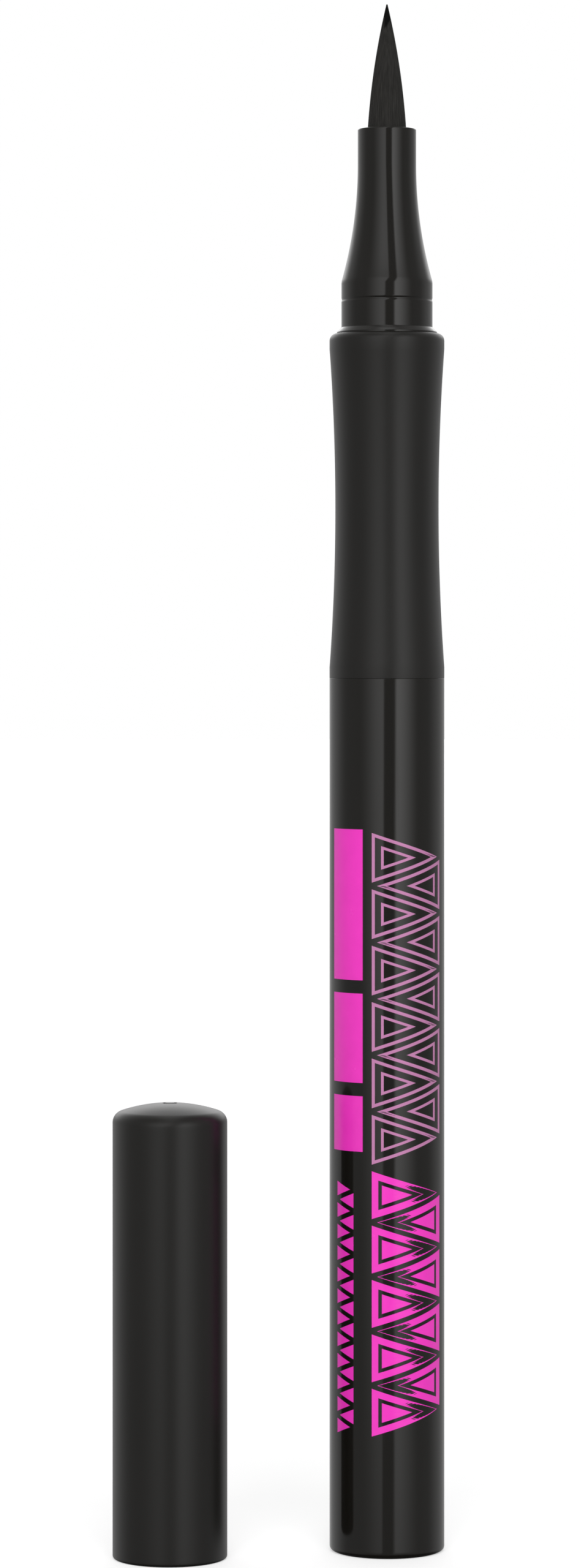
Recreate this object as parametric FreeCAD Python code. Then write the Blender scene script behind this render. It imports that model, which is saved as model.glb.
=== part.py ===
"""Brush-tip liquid eyeliner pen of the free-ink kind, with its push-on cap standing beside it.

The pen stands upright. Its base is at height zero and its axis is the upright axis.
The tube is a sealed tank. The grip section is pressed into it and holds a finned collector, whose
wick carries the liquid to a brush nib in the nose. The cap stands to the left of the pen, mouth down.
All sizes are in millimetres.
"""

import FreeCAD, Part
import math
import os

# Barrel, the glossy tube that is also the tank
barrel_radius = 4.8
barrel_length = 72.9
barrel_wall = 0.9
foot_round = 0.4
seam_bevel = 0.06

# Tail plug, which closes the tank from below
plug_flange_width = 0.3
plug_flange_thickness = 1.0
plug_length = 6.5
plug_wall = 0.75
plug_floor = 1.6
plug_relief = 0.12
plug_bead_height = 0.7
plug_bead_count = 2

# Mixing ball, loose in the tank
ball_radius = 1.75
ball_rest_gap = 0.02

# Grip section, waisted, with a spigot that goes down into the barrel
grip_length = 28.8
grip_waist_depth = 0.48
grip_waist_wall = 1.12
grip_lower_land = 0.9
grip_upper_land = 1.3
grip_shoulder_round = 0.6
spigot_length = 8.0
spigot_lead = 0.3
passage_wall = 0.48
chamber_floor = 0.8

# Snap ribs and their grooves, which lock the grip section in the barrel and the nose in the grip section
snap_height = 0.08
snap_width = 0.8
snap_flat = 0.16
snap_below_seam = 5.2
snap_below_shoulder = 3.0

# Sealing ring in the spigot's groove
ring_section_radius = 0.3
ring_groove_play = 0.1
ring_below_seam = 2.0

# Collector, the finned buffer with its feed tube
feed_tube_wall = 0.63
feed_tube_reach = 2.6
collector_disc_thickness = 1.2
collector_fin_thickness = 0.4
collector_fin_gap = 0.4
collector_fin_play = 0.12
collector_slot_width = 0.35

# Tank seal, the soft stopper round the feed tube
seal_length = 3.2
seal_flange_width = 0.65
seal_flange_thickness = 0.6

# Relay wick
wick_radius = 0.8
wick_bevel = 0.4
wick_reach = 0.6

# Nose cone, glossy, with the collar that the cap snaps on
nose_spigot_length = 6.0
nose_spigot_lead = 0.25
nose_spigot_wall = 0.68
nib_bore_length = 10.8
flange_overhang = 0.38
flange_height = 0.5
flange_edge = 0.12
collar_groove_height = 2.8
collar_groove_width = 0.22
collar_groove_depth = 0.1
collar_above_groove = 1.2
crest_radius = 1.5
flare_radius = 36.0
flare_depth = 1.37
tip_wall = 0.81
tip_land = 2.95
tip_edge_round = 0.1

# Brush nib
nib_length = 10.45
nib_bulge = 0.223
nib_point_radius = 0.06
nib_flange_play = 0.41
nib_flange_thickness = 0.9
nib_pocket_depth = 2.0

# Nib seat, the slotted sleeve between the collector and the nib
seat_wall = 0.75
seat_slot_count = 4
seat_slot_width = 0.5
seat_slot_length = 2.5

# Cap, standing beside the pen
cap_spacing = 18.07
cap_forward = 3.7
cap_setback = 0.04
cap_wall = 0.84
cap_foot_round = 0.25
cap_shoulder_round = 1.0
cap_dome_radius = 13.0
cap_top_wall = 1.5
cap_headroom = 5.6
cap_bore_clearance = 0.11
cap_mouth_clearance = 0.08
cap_stop_width = 0.6
cap_bead_bite = 0.03
cap_bead_width = 0.3
gate_dimple_radius = 0.62
gate_dimple_depth = 0.12
gate_nub_radius = 0.4
gate_nub_height = 0.12

# Inner cap, the liner that seals the nose
liner_depth = 9.0
liner_ring_height = 2.2
liner_wall = 0.75
liner_lead_clearance = 0.23
liner_seal_clearance = 0.03
liner_seal_length = 2.8
liner_rim_play = 0.4
liner_chamber_step = 0.25
liner_point_room = 2.15
liner_top_wall = 0.9
liner_rib_count = 4
liner_rib_width = 0.7

# Clearances
press_gap = 0.01
fit_gap = 0.02
end_play = 0.05
overrun = 1.0

# Radii from the outside of the pen inwards
tank_radius = barrel_radius - barrel_wall
plug_seat_radius = tank_radius + plug_flange_width
spigot_radius = tank_radius - fit_gap
ring_floor_radius = tank_radius - 2 * (ring_section_radius + press_gap)
passage_radius = ring_floor_radius - passage_wall
waist_radius = barrel_radius - grip_waist_depth
chamber_radius = waist_radius - grip_waist_wall
nose_cavity_radius = chamber_radius - fit_gap - nose_spigot_wall
cap_radius = barrel_radius - cap_setback
cap_bore_radius = cap_radius - cap_wall
collar_radius = cap_bore_radius - cap_bore_clearance
flange_radius = collar_radius + flange_overhang
tip_radius = collar_radius - flare_depth
nib_bore_radius = tip_radius - tip_wall
nib_radius = nib_bore_radius - fit_gap
wick_bore_radius = wick_radius + fit_gap
feed_tube_radius = wick_bore_radius + feed_tube_wall

# Heights up the nose from its shoulder, and so down the cap's inside from its mouth
collar_length = collar_groove_height + collar_groove_width / 2 + collar_above_groove
flare_rise = math.sqrt((crest_radius + flare_radius) ** 2 - (crest_radius + flare_radius - flare_depth) ** 2)
nose_length = collar_length + flare_rise + tip_land
liner_land_low = nose_length - liner_seal_length
liner_land_high = nose_length + liner_rim_play
liner_chamber_top = nose_length + nib_length + liner_point_room
liner_top = liner_chamber_top + liner_top_wall
cap_height = liner_top + cap_headroom + cap_top_wall

# Heights up the pen
seam_height = barrel_length
spigot_end = seam_height - spigot_length
feed_tube_end = spigot_end - feed_tube_reach
chamber_floor_height = seam_height + chamber_floor
shoulder_height = seam_height + grip_length
nose_low = shoulder_height - nose_spigot_length
collector_top = nose_low - end_play
rim_height = shoulder_height + nose_length
nib_step_height = rim_height - nib_bore_length
nib_root_height = nib_step_height - nib_flange_thickness - end_play
nib_tip_height = rim_height + nib_length

UP = FreeCAD.Vector(0, 0, 1)
AXIS_FOOT = FreeCAD.Vector(0, 0, 0)


class Outline:
    """A closed outline in the plane of radius and height, to be turned about the upright axis."""

    def __init__(self, radius, height):
        self.start = FreeCAD.Vector(radius, 0, height)
        self.here = self.start
        self.edges = []

    def line(self, radius, height):
        """Goes straight to a point."""
        there = FreeCAD.Vector(radius, 0, height)
        self.edges.append(Part.LineSegment(self.here, there).toShape())
        self.here = there

    def arc(self, centre, radius, height):
        """Goes to a point the short way round a centre."""
        there = FreeCAD.Vector(radius, 0, height)
        middle = FreeCAD.Vector(centre[0], 0, centre[1])
        out = (self.here - middle) + (there - middle)
        out.normalize()
        top = middle + out * (self.here - middle).Length
        self.edges.append(Part.Arc(self.here, top, there).toShape())
        self.here = there

    def bow(self, through, radius, height):
        """Goes to a point along the arc through one more point."""
        there = FreeCAD.Vector(radius, 0, height)
        between = FreeCAD.Vector(through[0], 0, through[1])
        self.edges.append(Part.Arc(self.here, between, there).toShape())
        self.here = there

    def turned(self):
        """Closes the outline and turns it through a full circle."""
        self.edges.append(Part.LineSegment(self.here, self.start).toShape())
        return Part.Face(Part.Wire(self.edges)).revolve(AXIS_FOOT, UP, 360)


def snap_rib(edge, bore, middle):
    """Carries an outline up a spigot over the rib that clicks into its bore."""
    edge.line(bore - fit_gap, middle - snap_width / 2)
    edge.line(bore + snap_height, middle - snap_flat / 2)
    edge.line(bore + snap_height, middle + snap_flat / 2)
    edge.line(bore - fit_gap, middle + snap_width / 2)


def snap_groove(edge, bore, middle):
    """Carries an outline down a bore through the groove for the rib."""
    floor = bore + snap_height + fit_gap
    edge.line(bore, middle + snap_width / 2 + fit_gap)
    edge.line(floor, middle + snap_flat / 2)
    edge.line(floor, middle - snap_flat / 2)
    edge.line(bore, middle - snap_width / 2 - fit_gap)


def bar(width, reach, low, high, angle=0):
    """An upright bar from the axis out to a radius, turned to an angle, for ribs and slots."""
    shape = Part.makeBox(reach, width, high - low, FreeCAD.Vector(0, -width / 2, low))
    shape.rotate(AXIS_FOOT, UP, angle)
    return shape


def rod(radius, low, high):
    """A plain round bar on the axis."""
    return Part.makeCylinder(radius, high - low, FreeCAD.Vector(0, 0, low))


def make_barrel():
    """The tube: a rounded foot, the tail plug's seat, the snap groove and a bevelled top."""
    edge = Outline(plug_seat_radius, 0)
    edge.line(barrel_radius - foot_round, 0)
    edge.arc((barrel_radius - foot_round, foot_round), barrel_radius, foot_round)
    edge.line(barrel_radius, seam_height - seam_bevel)
    edge.line(barrel_radius - seam_bevel, seam_height)
    edge.line(tank_radius, seam_height)
    snap_groove(edge, tank_radius, seam_height - snap_below_seam)
    edge.line(tank_radius, plug_flange_thickness)
    edge.line(plug_seat_radius, plug_flange_thickness)
    return edge.turned()


def make_tail_plug():
    """A hollow stopper with a flush flange and sealing beads round its stem."""
    flange = plug_seat_radius - press_gap
    stem = tank_radius - plug_relief
    spacing = (plug_length - plug_flange_thickness) / (plug_bead_count + 1)
    edge = Outline(0, 0)
    edge.line(flange - seam_bevel, 0)
    edge.line(flange, seam_bevel)
    edge.line(flange, plug_flange_thickness)
    edge.line(stem, plug_flange_thickness)
    for number in range(plug_bead_count):
        middle = plug_flange_thickness + spacing * (number + 1)
        edge.line(stem, middle - plug_bead_height / 2)
        edge.line(tank_radius - press_gap, middle)
        edge.line(stem, middle + plug_bead_height / 2)
    edge.line(stem, plug_length - plug_relief)
    edge.line(stem - plug_relief, plug_length)
    edge.line(stem - plug_wall, plug_length)
    edge.line(stem - plug_wall, plug_floor)
    edge.line(0, plug_floor)
    return edge.turned()


def make_mixing_ball():
    """The steel ball, at rest on the floor of the tail plug."""
    return Part.makeSphere(ball_radius, FreeCAD.Vector(0, 0, plug_floor + ball_rest_gap + ball_radius))


def make_grip_section():
    """The waisted grip, its spigot with snap rib and ring groove, and the collector's chamber."""
    ring = seam_height - ring_below_seam
    ring_half = ring_section_radius + ring_groove_play / 2
    waist_low = seam_height + grip_lower_land
    waist_high = shoulder_height - grip_upper_land
    shoulder_centre = (barrel_radius - grip_shoulder_round, shoulder_height - grip_shoulder_round)
    edge = Outline(passage_radius, spigot_end)
    edge.line(spigot_radius - spigot_lead, spigot_end)
    edge.line(spigot_radius, spigot_end + spigot_lead)
    snap_rib(edge, tank_radius, seam_height - snap_below_seam)
    edge.line(spigot_radius, ring - ring_half)
    edge.line(ring_floor_radius, ring - ring_half)
    edge.line(ring_floor_radius, ring + ring_half)
    edge.line(spigot_radius, ring + ring_half)
    edge.line(spigot_radius, seam_height)
    edge.line(barrel_radius - seam_bevel, seam_height)
    edge.line(barrel_radius, seam_height + seam_bevel)
    edge.line(barrel_radius, waist_low)
    edge.bow((waist_radius, (waist_low + waist_high) / 2), barrel_radius, waist_high)
    edge.line(barrel_radius, shoulder_centre[1])
    edge.arc(shoulder_centre, shoulder_centre[0], shoulder_height)
    edge.line(chamber_radius, shoulder_height)
    snap_groove(edge, chamber_radius, shoulder_height - snap_below_shoulder)
    edge.line(chamber_radius, chamber_floor_height)
    edge.line(passage_radius, chamber_floor_height)
    return edge.turned()


def make_sealing_ring():
    """The rubber ring between the spigot and the barrel."""
    middle = tank_radius - press_gap - ring_section_radius
    return Part.makeTorus(middle, ring_section_radius, FreeCAD.Vector(0, 0, seam_height - ring_below_seam))


def make_tank_seal():
    """The soft stopper in the spigot's end, with the feed tube through it."""
    inner = feed_tube_radius + press_gap
    outer = passage_radius - press_gap
    edge = Outline(inner, spigot_end - seal_flange_thickness)
    edge.line(passage_radius + seal_flange_width, spigot_end - seal_flange_thickness)
    edge.line(passage_radius + seal_flange_width, spigot_end)
    edge.line(outer, spigot_end)
    edge.line(outer, spigot_end + seal_length)
    edge.line(inner, spigot_end + seal_length)
    return edge.turned()


def make_collector():
    """The feed tube, the rear disc, the comb of fins and the front disc, with one slot down the comb."""
    disc = chamber_radius - fit_gap
    fin = chamber_radius - collector_fin_play
    comb_low = chamber_floor_height + collector_disc_thickness
    comb_high = collector_top - collector_disc_thickness
    comb = comb_high - comb_low
    fin_count = int((comb - collector_fin_gap) / (collector_fin_thickness + collector_fin_gap))
    gap = (comb - fin_count * collector_fin_thickness) / (fin_count + 1)
    edge = Outline(wick_bore_radius, feed_tube_end)
    edge.line(feed_tube_radius, feed_tube_end)
    edge.line(feed_tube_radius, chamber_floor_height)
    edge.line(disc, chamber_floor_height)
    edge.line(disc, comb_low)
    edge.line(feed_tube_radius, comb_low)
    for number in range(fin_count):
        low = comb_low + gap + number * (collector_fin_thickness + gap)
        edge.line(feed_tube_radius, low)
        edge.line(fin, low)
        edge.line(fin, low + collector_fin_thickness)
        edge.line(feed_tube_radius, low + collector_fin_thickness)
    edge.line(feed_tube_radius, comb_high)
    edge.line(fin, comb_high)
    edge.line(fin, collector_top)
    edge.line(wick_bore_radius, collector_top)
    slot = bar(collector_slot_width, chamber_radius, comb_low, collector_top + overrun)
    return edge.turned().cut(slot.cut(rod(feed_tube_radius, comb_low, collector_top + overrun)))


def make_relay_wick():
    """The fibre rod from the tank to the nib, with both ends bevelled."""
    low = feed_tube_end - wick_reach
    high = nib_root_height + nib_pocket_depth - end_play
    edge = Outline(0, low)
    edge.line(wick_radius - wick_bevel, low)
    edge.line(wick_radius, low + wick_bevel)
    edge.line(wick_radius, high - wick_bevel)
    edge.line(wick_radius - wick_bevel, high)
    edge.line(0, high)
    return edge.turned()


def make_nib_seat():
    """The sleeve that holds the nib up against the nose's step, slotted for air at its top."""
    outer = nose_cavity_radius - fit_gap
    inner = outer - seat_wall
    slot_floor = nib_root_height - seat_slot_length
    sleeve = rod(outer, collector_top, nib_root_height).cut(rod(inner, collector_top, nib_root_height))
    for number in range(seat_slot_count):
        angle = 360 * number / seat_slot_count
        sleeve = sleeve.cut(bar(seat_slot_width, outer + overrun, slot_floor, nib_step_height, angle))
    return sleeve


def nose_outside(edge):
    """Carries an outline up the nose's outside: flange, collar, groove, crest, flare and tip."""
    groove_middle = shoulder_height + collar_groove_height
    crest_centre = (collar_radius - crest_radius, shoulder_height + collar_length)
    flare_centre = (tip_radius + flare_radius, rim_height - tip_land)
    crest_share = crest_radius / (crest_radius + flare_radius)
    meet_radius = crest_centre[0] + (flare_centre[0] - crest_centre[0]) * crest_share
    meet_height = crest_centre[1] + (flare_centre[1] - crest_centre[1]) * crest_share
    tip_centre = (tip_radius - tip_edge_round, rim_height - tip_edge_round)
    edge.line(flange_radius, shoulder_height)
    edge.line(flange_radius, shoulder_height + flange_edge)
    edge.line(collar_radius, shoulder_height + flange_height)
    edge.line(collar_radius, groove_middle - collar_groove_width / 2)
    groove_floor = (collar_radius - collar_groove_depth, groove_middle)
    edge.bow(groove_floor, collar_radius, groove_middle + collar_groove_width / 2)
    edge.line(collar_radius, crest_centre[1])
    edge.arc(crest_centre, meet_radius, meet_height)
    edge.arc(flare_centre, tip_radius, flare_centre[1])
    edge.line(tip_radius, tip_centre[1])
    edge.arc(tip_centre, tip_centre[0], rim_height)


def make_nose_cone():
    """The glossy nose: a spigot in the grip, the cavity for the nib seat and the nib's bore."""
    spigot = chamber_radius - fit_gap
    edge = Outline(nose_cavity_radius, nose_low)
    edge.line(spigot - nose_spigot_lead, nose_low)
    edge.line(spigot, nose_low + nose_spigot_lead)
    snap_rib(edge, chamber_radius, shoulder_height - snap_below_shoulder)
    edge.line(spigot, shoulder_height)
    nose_outside(edge)
    edge.line(nib_bore_radius, rim_height)
    edge.line(nib_bore_radius, nib_step_height)
    edge.line(nose_cavity_radius, nib_step_height)
    return edge.turned()


def make_brush_nib():
    """The fibre nib: a fused flange and root with the wick's pocket, and a bowed taper to the point."""
    flange = nose_cavity_radius - nib_flange_play
    pocket_top = nib_root_height + nib_pocket_depth
    point_centre = (0, nib_tip_height - nib_point_radius)
    middle = ((nib_radius + nib_point_radius) / 2 + nib_bulge, (rim_height + point_centre[1]) / 2)
    edge = Outline(wick_bore_radius, nib_root_height)
    edge.line(flange, nib_root_height)
    edge.line(flange, nib_root_height + nib_flange_thickness)
    edge.line(nib_radius, nib_root_height + nib_flange_thickness)
    edge.line(nib_radius, rim_height)
    edge.bow(middle, nib_point_radius, point_centre[1])
    edge.arc(point_centre, 0, nib_tip_height)
    edge.line(0, pocket_top)
    edge.line(wick_bore_radius, pocket_top)
    return edge.turned()


def stand_aside(shape):
    """Moves a piece made on the pen's axis to where the cap stands."""
    shape.translate(FreeCAD.Vector(-cap_spacing, -cap_forward, 0))
    return shape


def cap_outside(edge):
    """Carries an outline up the cap's outside, over the domed top and into the gate mark."""
    dome_centre = (0, cap_height - cap_dome_radius)
    side_radius = cap_radius - cap_shoulder_round
    side_rise = math.sqrt((cap_dome_radius - cap_shoulder_round) ** 2 - side_radius**2)
    side_centre = (side_radius, dome_centre[1] + side_rise)
    dome_share = cap_dome_radius / (cap_dome_radius - cap_shoulder_round)
    meet_radius = side_radius * dome_share
    meet_height = dome_centre[1] + side_rise * dome_share
    dimple_edge = dome_centre[1] + math.sqrt(cap_dome_radius**2 - gate_dimple_radius**2)
    dimple_floor = cap_height - gate_dimple_depth
    edge.line(cap_radius - cap_foot_round, 0)
    edge.arc((cap_radius - cap_foot_round, cap_foot_round), cap_radius, cap_foot_round)
    edge.line(cap_radius, side_centre[1])
    edge.arc(side_centre, meet_radius, meet_height)
    edge.arc(dome_centre, gate_dimple_radius, dimple_edge)
    edge.line(gate_dimple_radius, dimple_floor)
    edge.line(gate_nub_radius, dimple_floor)
    edge.line(gate_nub_radius, dimple_floor + gate_nub_height)
    edge.line(0, dimple_floor + gate_nub_height)


def make_cap_shell():
    """The outer cap: bevelled mouth, snap bead, bore, stop for the liner and a closed end."""
    mouth = flange_radius + cap_mouth_clearance
    cavity = cap_bore_radius - cap_stop_width
    edge = Outline(mouth, 0)
    cap_outside(edge)
    edge.line(0, liner_top + cap_headroom)
    edge.line(cavity, liner_top + cap_headroom)
    edge.line(cavity, liner_top)
    edge.line(cap_bore_radius, liner_top)
    edge.line(cap_bore_radius, collar_groove_height + cap_bead_width / 2)
    bead = (collar_radius - cap_bead_bite, collar_groove_height)
    edge.bow(bead, cap_bore_radius, collar_groove_height - cap_bead_width / 2)
    edge.line(cap_bore_radius, flange_height)
    edge.line(mouth, flange_edge)
    return stand_aside(edge.turned())


def flare_radius_at(height):
    """The radius of the nose's flare at a height above its shoulder."""
    drop = nose_length - tip_land - height
    return tip_radius + flare_radius - math.sqrt(flare_radius**2 - drop**2)


def make_inner_cap():
    """The liner: a press ring, a lead-in, the land that seals the nose, a closed chamber and outer ribs."""
    ring = cap_bore_radius - press_gap
    ring_top = liner_depth + liner_ring_height
    land = tip_radius + liner_seal_clearance
    lead = flare_radius_at(liner_depth) + liner_lead_clearance
    lead_share = liner_ring_height / (liner_land_low - liner_depth)
    chamber = land - liner_chamber_step
    tube = land + liner_wall
    edge = Outline(lead, liner_depth)
    edge.line(ring, liner_depth)
    edge.line(ring, ring_top)
    edge.line(lead + (land - lead) * lead_share + liner_wall, ring_top)
    edge.line(tube, liner_land_low)
    edge.line(tube, liner_top)
    edge.line(0, liner_top)
    edge.line(0, liner_chamber_top)
    edge.line(chamber, liner_chamber_top)
    edge.line(chamber, liner_land_high)
    edge.line(land, liner_land_high)
    edge.line(land, liner_land_low)
    liner = edge.turned()
    inside = rod(land + liner_wall / 2, liner_land_low, liner_top)
    outside = rod(ring, liner_land_low, liner_top)
    for number in range(liner_rib_count):
        angle = 360 * number / liner_rib_count
        rib = bar(liner_rib_width, ring + overrun, liner_land_low, liner_top, angle)
        liner = liner.fuse(rib.common(outside).cut(inside))
    return stand_aside(liner.removeSplitter())


MAKERS = {
    "barrel": make_barrel,
    "tail_plug": make_tail_plug,
    "mixing_ball": make_mixing_ball,
    "grip_section": make_grip_section,
    "sealing_ring": make_sealing_ring,
    "tank_seal": make_tank_seal,
    "collector": make_collector,
    "relay_wick": make_relay_wick,
    "nib_seat": make_nib_seat,
    "nose_cone": make_nose_cone,
    "brush_nib": make_brush_nib,
    "cap_shell": make_cap_shell,
    "inner_cap": make_inner_cap,
}

os.makedirs("parts", exist_ok=True)
for node, maker in MAKERS.items():
    piece = maker()
    if not piece.isValid() or len(piece.Solids) != 1:
        raise ValueError(node + " isn't one sound solid")
    piece.exportStep("parts/" + node + ".step")
    print(node, "volume", round(piece.Volume, 3))
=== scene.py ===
"""A slim liquid eyeliner pen, upright on its base, with its cap taken off and standing beside it.

The sections follow the pen as it is put together, from the barrel up to the nib, and then the cap.
Lengths are in metres, written as millimetres times mm. Colours are linear red, green, blue and alpha.
"""

import math

import bpy
import numpy as np
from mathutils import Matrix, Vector


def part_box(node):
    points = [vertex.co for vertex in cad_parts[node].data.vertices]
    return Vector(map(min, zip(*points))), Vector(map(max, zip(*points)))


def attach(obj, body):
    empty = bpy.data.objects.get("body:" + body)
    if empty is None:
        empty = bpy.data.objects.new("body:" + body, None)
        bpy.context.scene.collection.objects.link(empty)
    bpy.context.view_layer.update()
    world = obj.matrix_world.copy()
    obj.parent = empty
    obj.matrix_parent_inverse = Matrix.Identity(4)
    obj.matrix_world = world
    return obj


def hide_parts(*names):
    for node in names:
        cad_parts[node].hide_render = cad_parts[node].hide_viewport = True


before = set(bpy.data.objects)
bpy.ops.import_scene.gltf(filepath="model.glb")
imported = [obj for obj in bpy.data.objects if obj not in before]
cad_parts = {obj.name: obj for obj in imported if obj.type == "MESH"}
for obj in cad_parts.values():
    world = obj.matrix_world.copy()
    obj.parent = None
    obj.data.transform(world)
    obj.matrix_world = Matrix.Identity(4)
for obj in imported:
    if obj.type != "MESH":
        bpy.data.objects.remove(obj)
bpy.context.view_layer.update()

# Barrel
# The glossy black tube, which is also the tank. It is moulded in one piece and polished. The tail plug closes
# its foot, and the grip section is pressed into its top until a rib clicks into the groove in the bore.
mm = 0.001
_, barrel_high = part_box("barrel")
barrel_radius = barrel_high.x
seam_height = barrel_high.z
barrel_wall = 0.9 * mm
foot_round = 0.4 * mm
seam_bevel = 0.025 * mm
plug_seat_width = 0.3 * mm
plug_seat_height = 1.0 * mm
fit_gap = 0.02 * mm
snap_height = 0.08 * mm
snap_reach = 0.4 * mm
snap_flat = 0.08 * mm
snap_below_seam = 5.2 * mm
tank_radius = barrel_radius - barrel_wall
plug_seat_radius = tank_radius + plug_seat_width
one_place = 1e-8


def rounded(corners, steps=7):
    """The points of a closed outline whose corners are rounded.

    A row is a corner's radius and height, and how far its rounding reaches along both of its sides. The
    rounding is the circular arc that touches both sides there: a second-degree curve in which the corner
    weighs the sine of half the angle between the sides. One more point on each side, half as far again from
    the corner, keeps the shading of the straight stretch straight.
    """
    rows = np.array(corners, float)
    corner, reach = rows[:, None, :2], rows[:, None, 2:]
    back = np.roll(corner, 1, 0) - corner
    ahead = np.roll(corner, -1, 0) - corner
    back /= np.linalg.norm(back, axis=2, keepdims=True)
    ahead /= np.linalg.norm(ahead, axis=2, keepdims=True)
    weight = np.sqrt(0.5 - 0.5 * (back * ahead).sum(2, keepdims=True))
    t = np.linspace(0, 1, steps)[:, None]
    total = (1 - t) ** 2 + 2 * weight * t * (1 - t) + t**2
    curve = (back * (1 - t) ** 2 + ahead * t**2) / total
    curve = np.concatenate([1.5 * back, curve, 1.5 * ahead], 1)
    points = (corner + reach * curve).reshape(-1, 2)
    apart = np.linalg.norm(points - np.roll(points, 1, 0), axis=1) > one_place
    return points[apart]


def revolved(outline, centre=(0, 0), around=256):
    """The grid of points of an outline turned about an upright axis through centre.

    At a turn t from the front, a point of radius r and height h lies r sin t to the right of the axis and
    r cos t in front of it, at height h.
    """
    turn = np.linspace(0, 2 * math.pi, around, endpoint=False)[:, None]
    radius, height = outline.T
    across = centre[0] + radius * np.sin(turn)
    deep = centre[1] - radius * np.cos(turn)
    return np.stack([across, deep, height + 0 * turn], -1)


def skin(name, points, crisp_from=40):
    """A closed surface over a grid of points, as a new object.

    The first of the grid's last two axes goes round the piece and the second follows its outline, and both
    end where they began. A place on the outline where the whole round is one point is a pole. An axis before
    them counts like parts. Points nearer than one_place are one. Edges that turn by more than crisp_from
    degrees stay crisp.
    """
    grid = np.asarray(points, float)
    grid = grid.reshape(-1, *grid.shape[-3:])
    number = np.arange(grid[..., 0].size).reshape(grid.shape[:3])
    pole = np.ptp(grid, axis=1).max(-1) < one_place
    number = np.where(pole[:, None], number[:, :1], number)
    beside = np.roll(number, -1, 1)
    corners = np.stack([number, beside, np.roll(beside, -1, 2), np.roll(number, -1, 2)], -1).reshape(-1, 4)
    from_pole = corners[:, 0] == corners[:, 1]
    to_pole = corners[:, 2] == corners[:, 3]
    four = corners[~from_pole & ~to_pole]
    three = np.concatenate([corners[from_pole & ~to_pole, 1:], corners[to_pole & ~from_pole, :3]])
    used, renumbered = np.unique(np.concatenate([four.ravel(), three.ravel()]), return_inverse=True)
    faces = renumbered[: four.size].reshape(-1, 4).tolist()
    faces += renumbered[four.size :].reshape(-1, 3).tolist()
    mesh = bpy.data.meshes.new(name)
    mesh.from_pydata(grid.reshape(-1, 3)[used], [], faces)
    mesh.shade_smooth()
    mesh.set_sharp_from_angle(angle=math.radians(crisp_from))
    made = bpy.data.objects.new(name, mesh)
    bpy.context.scene.collection.objects.link(made)
    return made


def snap(radius, middle, bulge, reach):
    """Rows of a snap rib, or of its groove: out from a radius by bulge, and reach high each way."""
    return [
        (radius, middle - reach, 0),
        (radius + bulge, middle - snap_flat, 0),
        (radius + bulge, middle + snap_flat, 0),
        (radius, middle + reach, 0),
    ]


barrel_outline = rounded([
    (plug_seat_radius, 0, 0),
    (barrel_radius, 0, foot_round),
    (barrel_radius, seam_height, seam_bevel),
    (tank_radius, seam_height, 0),
    *snap(tank_radius, seam_height - snap_below_seam, snap_height + fit_gap, snap_reach + fit_gap)[::-1],
    (tank_radius, plug_seat_height, 0),
    (plug_seat_radius, plug_seat_height, 0),
])
barrel = skin("barrel_tube", revolved(barrel_outline))


class Shade:
    """One output of a node tree. Sums, differences and products with it add Math nodes to the tree."""

    def __init__(self, tree, socket=None):
        self.tree = tree
        self.socket = socket

    def node(self, kind, settings=None, inputs=None, output=0):
        """Adds a node: its settings first, and then the values or links of its sockets."""
        made = self.tree.nodes.new("ShaderNode" + kind)
        for name, value in (settings or {}).items():
            setattr(made, name, value)
        for name, value in (inputs or {}).items():
            if isinstance(value, Shade):
                self.tree.links.new(value.socket, made.inputs[name])
            else:
                made.inputs[name].default_value = value
        return Shade(self.tree, made.outputs[output] if made.outputs else None)

    def other(self, output):
        """Another output of the same node."""
        return Shade(self.tree, self.socket.node.outputs[output])

    def math(self, operation, first, second=0.0):
        return self.node("Math", {"operation": operation}, {0: first, 1: second})

    def __add__(self, value):
        return self.math("ADD", self, value)

    def __sub__(self, value):
        return self.math("SUBTRACT", self, value)

    def __rsub__(self, value):
        return self.math("SUBTRACT", value, self)

    def __mul__(self, value):
        return self.math("MULTIPLY", self, value)

    __radd__ = __add__
    __rmul__ = __mul__

    def rise(self, start, end):
        """0 up to start, 1 from end on, and smooth between them."""
        smooth = {"interpolation_type": "SMOOTHSTEP"}
        return self.node("MapRange", smooth, {"Value": self, "From Min": start, "From Max": end})

    def noise(self, size, stretch=1.0, detail=2.0):
        """Noise from 0 to 1 at this place, in patches of about a size, drawn out along the upright axis."""
        place = self.node("VectorMath", {"operation": "MULTIPLY"}, {0: self, 1: (1, 1, 1 / stretch)})
        return self.node("TexNoise", {}, {"Vector": place, "Scale": 1 / size, "Detail": detail})

    def between(self, first, second):
        """A colour from first to second by this share."""
        return self.node("Mix", {"data_type": "RGBA"}, {0: self, 6: first, 7: second}, 2)

    def bump(self, depth):
        """The surface's direction where this share of a depth is its relief."""
        return self.node("Bump", {}, {"Height": self, "Distance": depth})


def finish(name, sockets_at):
    """A material whose shader takes its sockets from a function of the place on the piece."""
    made = bpy.data.materials.new(name)
    made.use_nodes = True
    made.node_tree.nodes.clear()
    place = Shade(made.node_tree).node("TexCoord", output="Object")
    shader = place.node("BsdfPrincipled", {}, sockets_at(place))
    place.node("OutputMaterial", {}, {"Surface": shader})
    return made


def polished_black(place):
    """Polished black plastic: long faint waves from the mould, and hairlines along it from wiping."""
    waves = place.noise(2.5 * mm, stretch=4)
    hairlines = place.noise(0.12 * mm, stretch=60).rise(0.62, 0.72)
    return {
        "Base Color": waves.between((0.0066, 0.0059, 0.0048, 1), (0.0076, 0.0068, 0.0055, 1)),
        "Roughness": 0.07 + 0.05 * waves + 0.06 * hairlines,
        "IOR": 1.5,
        "Normal": waves.bump(0.004 * mm),
    }


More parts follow.
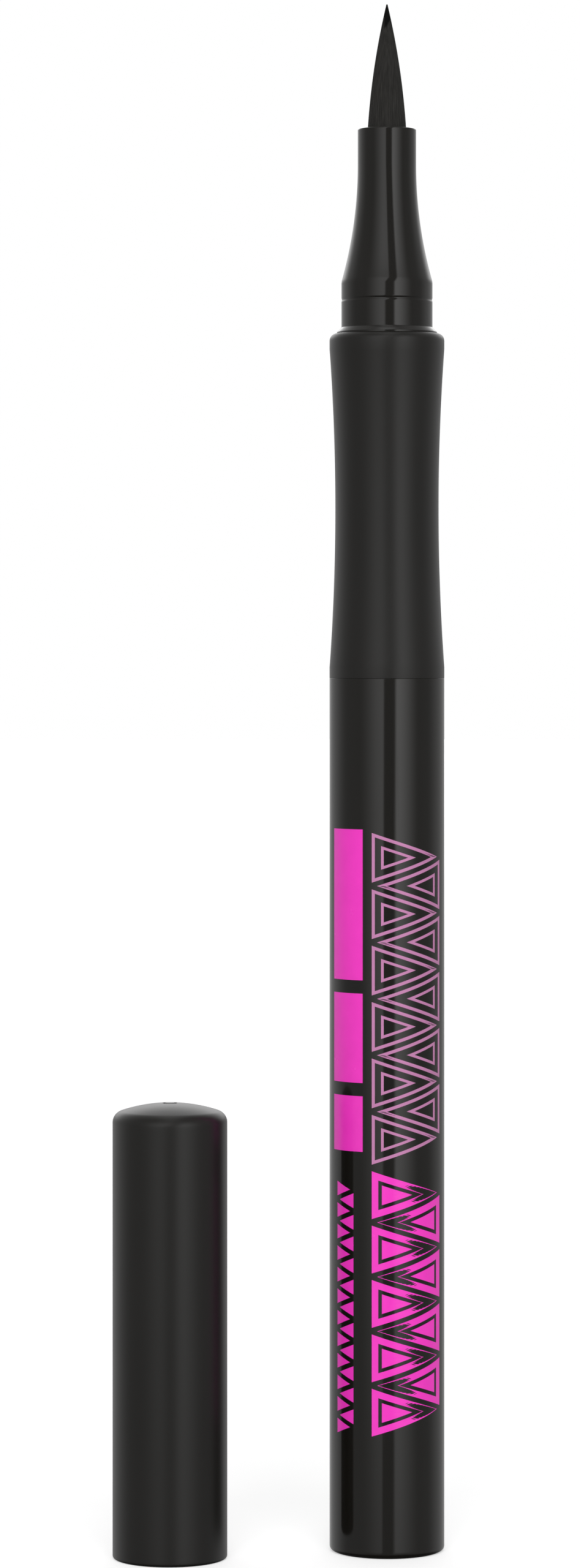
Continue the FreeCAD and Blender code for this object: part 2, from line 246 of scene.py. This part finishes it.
gloss = finish("black_gloss", polished_black)
barrel.data.materials.append(gloss)
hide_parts("barrel")
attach(barrel, "pen")

# Print
# Ink screened on the front of the barrel in thin films, magenta for the solid shapes and a dull pink for the
# fine lines. It is a band of nested triangles, solid below and in outline above, beside a column of bars and
# a fine zigzag.
ink_thickness = 0.02 * mm
band_left = math.radians(-18.6) * barrel_radius
band_right = math.radians(66) * barrel_radius
band_low = 9.9 * mm
band_middle = 32.4 * mm
band_high = 60.4 * mm
column_left = math.radians(-66.7) * barrel_radius
column_right = math.radians(-25.8) * barrel_radius
fringe_left = math.radians(-62) * barrel_radius
fringe_right = math.radians(-34) * barrel_radius
fringe_high = band_middle - 1 * mm
bar_ends = np.array([(33.7, 38.3), (39.4, 46.8), (47.9, 60.4)]) * mm
solid_teeth_count = 5
open_teeth_count = 6
fringe_teeth_count = 12
gap_inset = 0.2 * mm
wide_frame_inset = 0.75 * mm
wide_heart_inset = 1.05 * mm
fine_frame_inset = 0.46 * mm
fine_heart_outset = 0.98 * mm
fine_heart_inset = 1.2 * mm


def zigzag(left, right, low, high, teeth):
    """The triangles on both sides of a zigzag line that goes up a band from side to side.

    The line has this many teeth towards the right, and one fewer towards the left lie between them. Each row
    of the answer has a triangle's corners as width and height on the unrolled barrel, anticlockwise.
    """
    turns = np.linspace(low, high, 2 * teeth + 1)
    sides = np.array([left, right])[np.arange(2 * teeth + 1) % 2]
    line = np.stack([sides, turns], 1)
    towards_right = np.stack([line[:-2:2], line[1:-1:2], line[2::2]], 1)
    towards_left = np.stack([line[1:-2:2], line[3::2], line[2:-1:2]], 1)
    return np.concatenate([towards_right, towards_left])


def inset(triangles, by):
    """Triangles with their sides moved inwards by a distance.

    The centre of the circle inside is the mean of the corners, each weighing as the length of the side across
    from it. Its radius is twice the area over the three sides together, and each corner comes nearer to the
    centre by the share that the distance is of that radius.
    """
    across = np.linalg.norm(np.roll(triangles, -1, 1) - np.roll(triangles, 1, 1), axis=2, keepdims=True)
    centre = (triangles * across).sum(1, keepdims=True) / across.sum(1, keepdims=True)
    one = triangles[:, 1] - triangles[:, 0]
    two = triangles[:, 2] - triangles[:, 0]
    twice_area = one[:, 0] * two[:, 1] - one[:, 1] * two[:, 0]
    circle = twice_area[:, None, None] / across.sum(1, keepdims=True)
    return centre + (triangles - centre) * (1 - by / circle)


def divided(shapes, pieces=20):
    """The outlines of shapes given by their corners, with each side in equal pieces."""
    share = np.arange(pieces)[:, None] / pieces
    start = shapes[:, :, None]
    end = np.roll(shapes, -1, 1)[:, :, None]
    return (start + (end - start) * share).reshape(len(shapes), -1, 2)


def frames(outer, inner):
    """The loops of flat frames from their outer to their inner edge."""
    return np.stack([divided(outer), divided(inner)], 2)


def fills(shapes):
    """The loops of filled shapes: the outline drawn together in steps to its middle."""
    edge = divided(shapes)[:, :, None]
    middle = shapes.mean(1)[:, None, None]
    return middle + (edge - middle) * np.array([1, 0.8, 0.6, 0.4, 0.2, 0])[:, None]


def printed(name, loops, ink):
    """Films of ink on the barrel, from loops on the barrel unrolled.

    A width w from the front is a turn of w over the barrel's radius. The outline of a film goes from just
    under the barrel's surface up to its top, over all the loops and down again.
    """
    last = loops.shape[2] - 1
    order = [0, *range(last + 1), last]
    radius = barrel_radius + ink_thickness * np.array([-1] + [1] * (last + 1) + [-1])
    turn = loops[:, :, order, 0] / barrel_radius
    made = skin(name, np.stack([radius * np.sin(turn), -radius * np.cos(turn), loops[:, :, order, 1]], -1))
    made.data.materials.append(ink)
    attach(made, "pen")


def ink_colours(place, thin, full):
    """Screen ink: a little thicker in some places than in others, with the screen's fine grain."""
    body = place.noise(1.2 * mm)
    return {
        "Base Color": body.between(thin, full),
        "Roughness": 0.2 + 0.1 * body,
        "Normal": place.noise(0.1 * mm).bump(0.002 * mm),
    }


def magenta_ink(place):
    return ink_colours(place, (0.86, 0.034, 0.52, 1), (0.94, 0.040, 0.57, 1))


def pink_ink(place):
    return ink_colours(place, (0.48, 0.185, 0.37, 1), (0.54, 0.215, 0.42, 1))


magenta = finish("magenta_ink", magenta_ink)
pink = finish("pink_ink", pink_ink)
solid_teeth = zigzag(band_left, band_right, band_low, band_middle, solid_teeth_count)
open_teeth = zigzag(band_left, band_right, band_middle, band_high, open_teeth_count)
fringe_teeth = zigzag(fringe_left, fringe_right, band_low, fringe_high, fringe_teeth_count)
bar_widths = np.array([column_left, column_right, column_right, column_left])
bar_heights = bar_ends[:, [0, 0, 1, 1]]
bars = np.stack([bar_widths + 0 * bar_heights, bar_heights], -1)
wide_frames = frames(inset(solid_teeth, gap_inset), inset(solid_teeth, wide_frame_inset))
fine_frames = frames(inset(open_teeth, gap_inset), inset(open_teeth, fine_frame_inset))
fine_hearts = frames(inset(open_teeth, fine_heart_outset), inset(open_teeth, fine_heart_inset))
printed("print_wide_frames", wide_frames, magenta)
printed("print_wide_hearts", fills(inset(solid_teeth, wide_heart_inset)), magenta)
printed("print_bars", fills(bars), magenta)
printed("print_fine_frames", fine_frames, pink)
printed("print_fine_hearts", fine_hearts, pink)
printed("print_fringe", fills(inset(fringe_teeth, gap_inset)), magenta)

# Tail plug
# The black stopper pressed into the barrel's foot, level with its rim. It is moulded, and the mould gives it
# a fine spark finish.


def moulded_black(place):
    """Moulded black plastic with the fine pits of a spark-cut mould."""
    pits = place.noise(0.09 * mm, detail=3)
    return {
        "Base Color": place.noise(1.5 * mm).between((0.026, 0.026, 0.026, 1), (0.034, 0.034, 0.034, 1)),
        "Roughness": 0.5 + 0.2 * pits,
        "Normal": pits.bump(0.01 * mm),
    }


def dress(node, material):
    """Gives a node of the frame its material."""
    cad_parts[node].material_slots[0].material = material


dress("tail_plug", finish("plug_black", moulded_black))

# Mixing ball
# The loose steel ball that stirs the pigment when the pen is shaken. It is ground and polished, and lightly
# marked all over from rolling.


def polished_steel(place):
    """Polished steel: a clouded polish with small scuffs."""
    clouds = place.noise(0.8 * mm)
    scuffs = place.noise(0.07 * mm).rise(0.6, 0.7)
    return {
        "Base Color": clouds.between((0.56, 0.56, 0.57, 1), (0.66, 0.66, 0.67, 1)),
        "Metallic": 1.0,
        "Roughness": 0.1 + 0.08 * clouds + 0.1 * scuffs,
        "Normal": scuffs.bump(0.002 * mm),
    }


dress("mixing_ball", finish("ball_steel", polished_steel))

# Grip section
# The satin black waist that the fingers hold. Its spigot is pressed into the barrel, with a snap rib and a
# groove for the sealing ring, and its upper end takes the collector and the nose.
grip_low, grip_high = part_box("grip_section")
shoulder_height = grip_high.z
spigot_end = grip_low.z
waist_depth = 0.48 * mm
waist_low = seam_height + 0.9 * mm
waist_high = shoulder_height - 1.3 * mm
shoulder_round = 0.6 * mm
spigot_lead = 0.3 * mm
ring_height = seam_height - 2.0 * mm
ring_half_width = 0.35 * mm
ring_floor_radius = 3.28 * mm
passage_radius = 2.8 * mm
chamber_radius = 3.2 * mm
chamber_floor = seam_height + 0.8 * mm
nose_snap_height = shoulder_height - 3.0 * mm
spigot_radius = tank_radius - fit_gap


def arc(centre, start, end, steps):
    """Rows of an outline along the arc from start to end round a centre, the short way."""
    out = np.array([start, end]) - centre
    turn = np.linspace(*np.unwrap(np.arctan2(out[:, 1], out[:, 0])), steps)
    reach = np.hypot(*out[0])
    return np.stack([centre[0] + reach * np.cos(turn), centre[1] + reach * np.sin(turn), 0 * turn], 1)


def bow(start, through, end, steps):
    """Rows of the arc from start to end through a third point. Its centre is as far from all three."""
    one, two, three = np.array([start, through, end])
    sides = 2 * np.array([two - one, three - one])
    centre = np.linalg.solve(sides, [two @ two - one @ one, three @ three - one @ one])
    return arc(centre, start, end, steps)


grip_outline = rounded([
    (passage_radius, spigot_end, 0),
    (spigot_radius - spigot_lead, spigot_end, 0),
    (spigot_radius, spigot_end + spigot_lead, 0),
    *snap(spigot_radius, seam_height - snap_below_seam, snap_height + fit_gap, snap_reach),
    (spigot_radius, ring_height - ring_half_width, 0),
    (ring_floor_radius, ring_height - ring_half_width, 0),
    (ring_floor_radius, ring_height + ring_half_width, 0),
    (spigot_radius, ring_height + ring_half_width, 0),
    (spigot_radius, seam_height, 0),
    (barrel_radius, seam_height, seam_bevel),
    *bow(
        (barrel_radius, waist_low),
        (barrel_radius - waist_depth, (waist_low + waist_high) / 2),
        (barrel_radius, waist_high),
        steps=80,
    ),
    (barrel_radius, shoulder_height, shoulder_round),
    (chamber_radius, shoulder_height, 0),
    *snap(chamber_radius, nose_snap_height, snap_height + fit_gap, snap_reach + fit_gap)[::-1],
    (chamber_radius, chamber_floor, 0),
    (passage_radius, chamber_floor, 0),
])
grip = skin("grip_sleeve", revolved(grip_outline))


def satin_black(place):
    """Satin black plastic: the mould's fine blasted grain, and cloudy patches smoothed by hands."""
    grain = place.noise(0.07 * mm)
    worn = place.noise(5 * mm, stretch=2)
    return {
        "Base Color": worn.between((0.0072, 0.0066, 0.0056, 1), (0.0094, 0.0086, 0.0074, 1)),
        "Roughness": 0.31 + 0.05 * worn + 0.05 * grain,
        "IOR": 1.5,
        "Normal": grain.bump(0.0012 * mm),
    }


satin = finish("black_satin", satin_black)
grip.data.materials.append(satin)
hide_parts("grip_section")
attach(grip, "pen")

# Sealing ring and tank seal
# Two soft black rubber parts: the ring in the spigot's groove keeps the joint tight, and the stopper in the
# spigot's end lets only the feed tube through.


def seal_rubber(place):
    """Black rubber: dull, with a dusty bloom in patches."""
    bloom = place.noise(0.6 * mm, detail=4)
    return {
        "Base Color": bloom.between((0.045, 0.045, 0.05, 1), (0.085, 0.085, 0.09, 1)),
        "Roughness": 0.65 + 0.2 * bloom,
        "Normal": bloom.bump(0.008 * mm),
    }


rubber = finish("seal_rubber", seal_rubber)
dress("sealing_ring", rubber)
dress("tank_seal", rubber)

# Collector
# The comb of thin fins with the feed tube, moulded of milky plastic. It takes up the liquid that the tank
# pushes out when the pen warms in the hand, so liquid has stained it here and there.


def milky_plastic(place, stain=0.0):
    """Uncoloured plastic: milky, with flow clouds, and with dark stains where liquid has been."""
    flow = place.noise(2 * mm, stretch=3)
    clean = flow.between((0.77, 0.77, 0.73, 1), (0.85, 0.85, 0.82, 1))
    stains = place.noise(1.1 * mm, detail=4).rise(0.5, 0.75)
    return {
        "Base Color": (stains * stain).between(clean, (0.2, 0.19, 0.18, 1)),
        "Roughness": 0.3 + 0.15 * flow,
        "Normal": flow.bump(0.01 * mm),
    }


def wetted_plastic(place):
    return milky_plastic(place, stain=0.8)


wetted = finish("wetted_plastic", wetted_plastic)
dress("collector", wetted)

# Relay wick
# The rod of bonded fibres that carries the liquid from the tank through the collector into the nib. It is
# soaked black.


def soaked_fibre(place):
    """Bonded fibres soaked with black: fine strands along the rod, wet between them."""
    strands = place.noise(0.05 * mm, stretch=25)
    return {
        "Base Color": strands.between((0.03, 0.03, 0.03, 1), (0.075, 0.075, 0.075, 1)),
        "Roughness": 0.45 + 0.4 * strands,
        "Normal": strands.bump(0.02 * mm),
    }


dress("relay_wick", finish("wick_fibre", soaked_fibre))

# Nib seat
# The slotted sleeve that holds the nib up against the step in the nose. It is moulded of the same milky
# plastic as the collector, and liquid has stained it too.
dress("nib_seat", wetted)

# Nose cone
# The glossy nose, moulded of the barrel's plastic and polished. From below it has a small bevelled flange,
# the collar with the ring groove that the cap clicks into, the long hollow flare and a plain tip.
nose_low, nose_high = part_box("nose_cone")
rim_height = nose_high.z
flange_radius = 4.19 * mm
collar_radius = 3.81 * mm
flange_edge = 0.12 * mm
flange_edge_round = 0.02 * mm
flange_height = 0.5 * mm
collar_foot_round = 0.03 * mm
groove_height = shoulder_height + 2.8 * mm
groove_half_width = 0.16 * mm
groove_depth = 0.045 * mm
groove_round = 0.05 * mm
crest_height = shoulder_height + 4.11 * mm
crest_radius = 1.5 * mm
flare_radius = 36 * mm
tip_radius = 2.44 * mm
tip_land = 2.95 * mm
tip_edge_round = 0.1 * mm
nib_bore_radius = 1.63 * mm
nib_step_height = rim_height - 10.8 * mm
nose_cavity_radius = 2.5 * mm
nose_spigot_radius = chamber_radius - fit_gap
nose_spigot_lead = 0.25 * mm
crest_centre = np.array([collar_radius - crest_radius, crest_height])
flare_centre = np.array([tip_radius + flare_radius, rim_height - tip_land])
flare_start = crest_centre + (flare_centre - crest_centre) * crest_radius / (crest_radius + flare_radius)
nose_outline = rounded([
    (nose_cavity_radius, nose_low.z, 0),
    (nose_spigot_radius - nose_spigot_lead, nose_low.z, 0),
    (nose_spigot_radius, nose_low.z + nose_spigot_lead, 0),
    *snap(nose_spigot_radius, nose_snap_height, snap_height + fit_gap, snap_reach),
    (nose_spigot_radius, shoulder_height, 0),
    (flange_radius, shoulder_height, 0),
    (flange_radius, shoulder_height + flange_edge, flange_edge_round),
    (collar_radius, shoulder_height + flange_height, collar_foot_round),
    (collar_radius, groove_height - groove_half_width, groove_round),
    (collar_radius - groove_depth, groove_height, groove_round),
    (collar_radius, groove_height + groove_half_width, groove_round),
    *arc(crest_centre, (collar_radius, crest_height), flare_start, steps=12),
    *arc(flare_centre, flare_start, (tip_radius, rim_height - tip_land), steps=60)[1:],
    (tip_radius, rim_height, tip_edge_round),
    (nib_bore_radius, rim_height, 0),
    (nib_bore_radius, nib_step_height, 0),
    (nose_cavity_radius, nib_step_height, 0),
])
nose = skin("nose_piece", revolved(nose_outline))
nose.data.materials.append(gloss)
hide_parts("nose_cone")
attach(nose, "pen")

# Brush nib
# A bundle of fine tapered black filaments, fused at its root, where a flange holds it in the nose. Above the
# nose the filaments lie close together and run to one point.
nib_low, nib_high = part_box("brush_nib")
nib_tip_height = nib_high.z
nib_radius = 1.61 * mm
nib_flange_radius = nib_high.x
nib_flange_thickness = 0.9 * mm
wick_bore_radius = 0.82 * mm
pocket_top = nib_low.z + 2.0 * mm
point_radius = 0.06 * mm
point_height = nib_tip_height - point_radius
nib_bulge = 0.223 * mm
steps_round_nib = 368
strand_count = 46
strand_relief = 0.03
nib_middle = ((nib_radius + point_radius) / 2 + nib_bulge, (rim_height + point_height) / 2)
nib_outline = rounded([
    (wick_bore_radius, nib_low.z, 0),
    (nib_flange_radius, nib_low.z, 0),
    (nib_flange_radius, nib_low.z + nib_flange_thickness, 0),
    (nib_radius, nib_low.z + nib_flange_thickness, 0),
    *bow((nib_radius, rim_height), nib_middle, (point_radius, point_height), steps=90),
    *arc((0, point_height), (point_radius, point_height), (0, nib_tip_height), steps=6)[1:],
    (0, pocket_top, 0),
    (wick_bore_radius, pocket_top, 0),
])


def stranded(points, low, high):
    """Draws the surface in between the strands of a bundle.

    The strands stand side by side round the bundle, and their turn wanders a little on the way up. Between
    two strands the radius is less by the relief, which grows from the low end and is full a tenth of the
    way up.
    """
    turn = np.arctan2(points[..., 0], -points[..., 1])
    share = np.clip((points[..., 2] - low) / (high - low), 0, 1)
    wander = 0.5 * np.sin(3 * turn + 5 * share) + 0.4 * np.sin(7 * turn - 9 * share)
    between = 0.5 - 0.5 * np.cos(strand_count * turn + wander)
    narrower = 1 - strand_relief * between**2 * np.clip(10 * share, 0, 1)
    outside = points[..., 2] > low
    flat = np.where(outside, narrower, 1)[..., None]
    return points * np.concatenate([flat, flat, flat * 0 + 1], -1)


smooth_nib = revolved(nib_outline, around=steps_round_nib)
nib = skin("nib_brush", stranded(smooth_nib, rim_height, point_height))


def nib_filaments(place):
    """Black filaments: fine streaks along them, and a point soaked deep black with a ragged edge."""
    streaks = place.noise(0.13 * mm, stretch=30)
    height = place.node("SeparateXYZ", {}, {"Vector": place}).other("Z")
    crept = height + 3 * mm * (place.noise(0.25 * mm, stretch=6) - 0.5)
    dry = 1 - crept.rise(rim_height + 8.2 * mm, rim_height + 9.2 * mm)
    shown = (0.6 + 0.4 * streaks.rise(0.25, 0.75)) * (0.1 + 0.9 * dry)
    return {
        "Base Color": shown.between((0.001, 0.001, 0.001, 1), (0.029, 0.028, 0.026, 1)),
        "Roughness": 0.6 + 0.25 * streaks,
        "Specular IOR Level": 0.12,
        "Normal": streaks.bump(0.03 * mm),
    }


nib.data.materials.append(finish("nib_filaments", nib_filaments))
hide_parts("brush_nib")
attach(nib, "pen")

# Cap shell
# The push-on cap, of the grip's satin black plastic, with a slightly domed end. The small ring and pip in the
# middle of the end are where the plastic ran into the mould. Inside are the bead that clicks into the nose's
# groove and the stop for the liner.
cap_low, cap_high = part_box("cap_shell")
cap_centre = (cap_low + cap_high) / 2
cap_radius = (cap_high.x - cap_low.x) / 2
nub_height = 0.12 * mm
dimple_depth = 0.12 * mm
dimple_radius = 0.62 * mm
dimple_round = 0.02 * mm
nub_radius = 0.4 * mm
nub_round = 0.05 * mm
cap_top = cap_high.z - nub_height + dimple_depth
cap_dome_radius = 13 * mm
cap_shoulder_round = 1.0 * mm
cap_foot_round = 0.25 * mm
cap_side_end = 0.3 * mm
cap_bore_radius = 3.92 * mm
cap_mouth_radius = 4.27 * mm
mouth_lead_low = 0.12 * mm
mouth_lead_high = 0.5 * mm
cap_cavity_radius = 3.32 * mm
liner_top = 30.604 * mm
cap_cavity_top = 36.204 * mm
bead_height = 2.8 * mm
bead_half_width = 0.15 * mm
bead_radius = 3.78 * mm
dome_centre = np.array([0, cap_top - cap_dome_radius])
side_radius = cap_radius - cap_shoulder_round
side_rise = math.sqrt((cap_dome_radius - cap_shoulder_round) ** 2 - side_radius**2)
side_centre = dome_centre + (side_radius, side_rise)
dome_share = cap_dome_radius / (cap_dome_radius - cap_shoulder_round)
dome_edge = dome_centre + (side_centre - dome_centre) * dome_share
dimple_edge = dome_centre[1] + math.sqrt(cap_dome_radius**2 - dimple_radius**2)
cap_outline = rounded([
    (cap_mouth_radius, 0, 0),
    (cap_radius, 0, cap_foot_round),
    (cap_radius, side_centre[1] - cap_side_end, 0),
    *arc(side_centre, (cap_radius, side_centre[1]), dome_edge, steps=16),
    *arc(dome_centre, dome_edge, (dimple_radius, dimple_edge), steps=24)[1:],
    (dimple_radius, cap_top - dimple_depth, dimple_round),
    (nub_radius, cap_top - dimple_depth, dimple_round),
    (nub_radius, cap_high.z, nub_round),
    (0, cap_high.z, 0),
    (0, cap_cavity_top, 0),
    (cap_cavity_radius, cap_cavity_top, 0),
    (cap_cavity_radius, liner_top, 0),
    (cap_bore_radius, liner_top, 0),
    *bow(
        (cap_bore_radius, bead_height + bead_half_width),
        (bead_radius, bead_height),
        (cap_bore_radius, bead_height - bead_half_width),
        steps=12,
    ),
    (cap_bore_radius, mouth_lead_high, 0),
    (cap_mouth_radius, mouth_lead_low, 0),
])
cap = skin("cap_sleeve", revolved(cap_outline, centre=(cap_centre.x, cap_centre.y)))
cap.data.materials.append(satin)
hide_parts("cap_shell")
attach(cap, "cap")

# Inner cap
# The liner of milky plastic pressed into the cap. It closes round the nose's tip and keeps the nib from
# drying.
dress("inner_cap", finish("milky_plastic", milky_plastic))

# Floor
# A wide sheet of white laminate. What the camera sees of it is lifted towards white, most where it is far
# off, and the shadows at the feet of the pen and the cap stay. As in the photograph, the polished pieces
# don't mirror it.
floor_reach = 3.0
near_glow = 0.5
far_glow = 0.4
floor_mesh = bpy.data.meshes.new("floor")
floor_corners = np.array([(-1, -1, 0), (1, -1, 0), (1, 1, 0), (-1, 1, 0)]) * floor_reach
floor_mesh.from_pydata(floor_corners, [], [(0, 1, 2, 3)])
floor = bpy.data.objects.new("floor", floor_mesh)
bpy.context.scene.collection.objects.link(floor)
floor.visible_glossy = False


def white_laminate(place):
    """White laminate, with light of its own for the camera alone."""
    seen = place.node("LightPath", output="Is Camera Ray")
    far = place.node("VectorMath", {"operation": "LENGTH"}, {"Vector": place}, "Value").rise(0.2, 2)
    return {
        "Base Color": place.noise(20 * mm).between((0.60, 0.60, 0.60, 1), (0.62, 0.62, 0.62, 1)),
        "Roughness": 0.8,
        "Emission Color": (seen * (near_glow + far_glow * far)).between((0, 0, 0, 1), (1, 1, 1, 1)),
        "Emission Strength": 1.0,
    }


floor_mesh.materials.append(finish("white_laminate", white_laminate))

# Studio light
# The black gloss mirrors two tall soft boxes in front, one on each side of the camera, with the right one
# nearer and brighter. A narrow soft box overhead, a high one behind, and pale walls with a card that darkens
# the right side complete the room. The camera itself sees plain white.
box_low = -0.34
box_full = 0.03
left_strength = 0.99
right_strength = 1.62
high_strength = 1.6
overhead_strength = 0.75
wall_strength = 0.22
card_shade = 0.15
studio = bpy.data.worlds.new("studio")
studio.use_nodes = True
studio.node_tree.nodes.clear()
bpy.context.scene.world = studio
towards = Shade(studio.node_tree).node("TexCoord", output="Generated")
right = towards.node("SeparateXYZ", {}, {"Vector": towards})
back = right.other("Y")
up = right.other("Z")
sideways = right.math("ABSOLUTE", right)

# A bearing in degrees: nought towards the camera, and rising to the right
bearing = right.math("ARCTAN2", right, 0 - back) * math.degrees(1)
aside = bearing.math("ABSOLUTE", bearing)
card = bearing.rise(98, 125) * (1 - bearing.rise(160, 178))
walls = wall_strength + 0.1 * aside.rise(30, 60) + 0.28 * aside.rise(85, 125)
walls = walls * (1 - card_shade * card) * (0.1 + 0.9 * up.rise(-0.6, -0.2)) * (1 - 0.5 * up.rise(0.6, 0.85))

# The boxes' inner sides lean a little to the right on the way up
leaning = bearing - 20 * up
left_box = left_strength * bearing.rise(-60, -10) * (1 - leaning.rise(-9, -5))
right_box = right_strength * leaning.rise(13, 20) * (1 - bearing.rise(19, 67))
standing = up.rise(box_low, box_full) * (1 - up.rise(0.45, 0.8))
high_box = high_strength * aside.rise(120, 165) * up.rise(0.05, 0.3) * (1 - up.rise(0.2, 0.75))
overhead = (overhead_strength - 0.6 * sideways.rise(0.05, 0.25)) * up.rise(0.6, 0.9)
light = walls + standing * (left_box + right_box) + overhead + high_box
camera_ray = right.node("LightPath", output="Is Camera Ray")
seen_light = camera_ray.node("Mix", {"data_type": "FLOAT"}, {0: camera_ray, 2: light, 3: 1.0})
background = seen_light.node("Background", {}, {"Color": seen_light})
background.node("OutputWorld", {}, {"Surface": background})

# Front lamp
# A large soft lamp high in front, turned to the middle of the pen. It gives the print its full colour, and
# leaves no image in the gloss.
lamp_place = Vector((0, -1.1, 0.9))
lamp_target = Vector((0, 0, 60 * mm))
lamp_width = 0.9
lamp_power = 12.5
lamp_data = bpy.data.lights.new("front_lamp", "AREA")
lamp_data.size = lamp_width
lamp_data.energy = lamp_power
lamp = bpy.data.objects.new("front_lamp", lamp_data)
lamp.location = lamp_place
lamp.rotation_euler = (lamp_target - lamp_place).to_track_quat("-Z", "Y").to_euler()
lamp.visible_glossy = False
bpy.context.scene.collection.objects.link(lamp)

# Camera
# It stands level in front of the pen, a little above the barrel's upper end. Its lens is moved down, so the
# whole pen is in the frame and the upright lines stay upright.
camera_place = (-8.11 * mm, -431 * mm, 77.5 * mm)
focal_length = 118.3
lens_shift = -0.1027
lens = bpy.data.cameras.new("camera")
lens.lens = focal_length
lens.shift_y = lens_shift
camera = bpy.data.objects.new("camera", lens)
camera.location = camera_place
camera.rotation_euler = (math.radians(90), 0, 0)
bpy.context.scene.collection.objects.link(camera)
bpy.context.scene.camera = camera
bpy.context.scene.view_settings.view_transform = "Standard"
